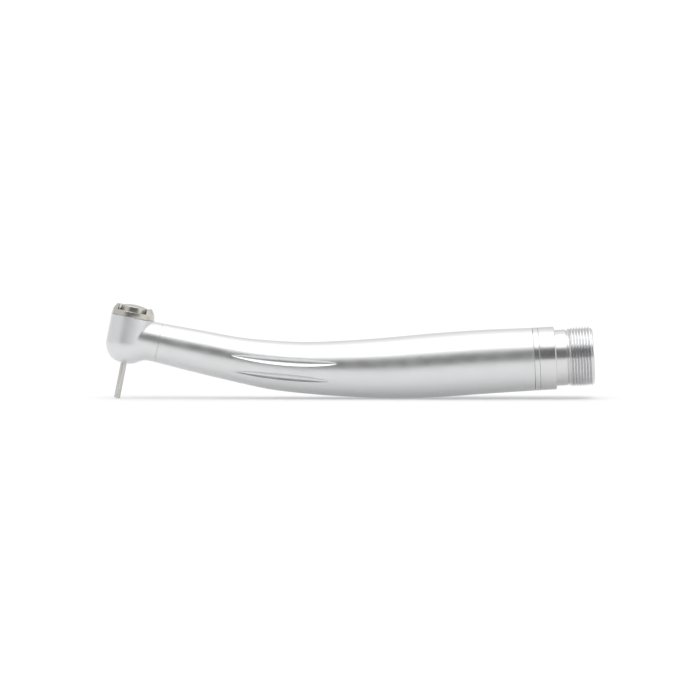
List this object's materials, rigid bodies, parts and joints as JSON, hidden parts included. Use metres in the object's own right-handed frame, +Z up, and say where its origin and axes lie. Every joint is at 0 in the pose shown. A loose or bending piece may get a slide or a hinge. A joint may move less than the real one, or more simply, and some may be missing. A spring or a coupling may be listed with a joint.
{
  "type": "high speed dental handpiece",
  "caption": "Air turbine dental handpiece with a push-button head, a spinning bur, a curved fluted metal handle and a threaded four-port hose connector.",
  "frame": {"origin": "centre of the bounding box's bottom face, on the plane that the handle's belly and the bur's tip stand on", "axes": "+X from the head to the hose connector, +Z up, the head's button on top"},
  "size_m": [0.1256, 0.0166, 0.0245],
  "materials": {
    "satin_steel": "fine satin, micro-blasted",
    "polished_nickel": "polished, slightly warm",
    "steel": "drawn or turned",
    "turned_steel": "turned bright",
    "bearing_steel": "ground and polished",
    "bur_steel": "ground",
    "aluminium": "machined",
    "brass": "machined, nickel free",
    "rubber": "matte",
    "cage_resin": "machined phenolic resin"
  },
  "bodies": {
    "handle": {"head_housing": "satin_steel", "head_cap": "polished_nickel", "cap_oring": "rubber", "button_spring": "steel", "upper_outer_ring": "bearing_steel", "upper_shield": "steel", "upper_bearing_oring": "rubber", "lower_outer_ring": "bearing_steel", "lower_shield": "steel", "lower_bearing_oring": "rubber", "preload_washer": "steel", "neck_insert": "brass", "neck_oring": "rubber", "handle_shell": "satin_steel", "drive_air_tube": "steel", "chip_air_tube": "steel", "water_tube": "steel", "rear_ring": "satin_steel", "shell_oring": "rubber", "connector_body": "turned_steel", "port_block": "brass"},
    "button": {"push_button": "polished_nickel", "button_retainer": "steel"},
    "rotor": {"spindle": "steel", "impeller": "aluminium", "chuck": "steel", "chuck_spring": "steel", "upper_inner_ring": "bearing_steel", "lower_inner_ring": "bearing_steel"},
    "plunger": {"chuck_plunger": "steel"},
    "bur": {"bur": "bur_steel"},
    "upper_balls": {"upper_cage": "cage_resin", "upper_ball_1": "bearing_steel", "upper_ball_2": "bearing_steel", "upper_ball_3": "bearing_steel", "upper_ball_4": "bearing_steel", "upper_ball_5": "bearing_steel", "upper_ball_6": "bearing_steel", "upper_ball_7": "bearing_steel"},
    "lower_balls": {"lower_cage": "cage_resin", "lower_ball_1": "bearing_steel", "lower_ball_2": "bearing_steel", "lower_ball_3": "bearing_steel", "lower_ball_4": "bearing_steel", "lower_ball_5": "bearing_steel", "lower_ball_6": "bearing_steel", "lower_ball_7": "bearing_steel"}
  },
  "joints": [
    {"name": "rotor_spin", "type": "hinge", "parent": "handle", "child": "rotor", "pos_m": [-0.05824, 0, 0.00904], "axis": [0.1959, 0, 0.9806], "continuous": true},
    {"name": "upper_cage_spin", "type": "hinge", "parent": "handle", "child": "upper_balls", "pos_m": [-0.05824, 0, 0.00904], "axis": [0.1959, 0, 0.9806], "continuous": true},
    {"name": "lower_cage_spin", "type": "hinge", "parent": "handle", "child": "lower_balls", "pos_m": [-0.05824, 0, 0.00904], "axis": [0.1959, 0, 0.9806], "continuous": true},
    {"name": "button_press", "type": "slide", "parent": "handle", "child": "button", "axis": [-0.1959, 0, -0.9806], "range_m": [0, 0.0008], "stiffness_N_per_m": 5000, "springref_m": -0.0005, "deforming": ["button_spring"]},
    {"name": "chuck_release", "type": "slide", "parent": "rotor", "child": "plunger", "axis": [-0.1959, 0, -0.9806], "range_m": [0, 0.0005], "deforming": ["chuck_spring"]},
    {"name": "bur_pull_out", "type": "slide", "parent": "rotor", "child": "bur", "axis": [-0.1959, 0, -0.9806], "range_m": [0, 0.0105]}
  ],
  "couplings": [
    {"joint": "upper_cage_spin", "follows": "rotor_spin", "ratio": 0.397},
    {"joint": "lower_cage_spin", "follows": "rotor_spin", "ratio": 0.397},
    {"joint": "chuck_release", "follows": "button_press", "ratio": 0.625}
  ]
}
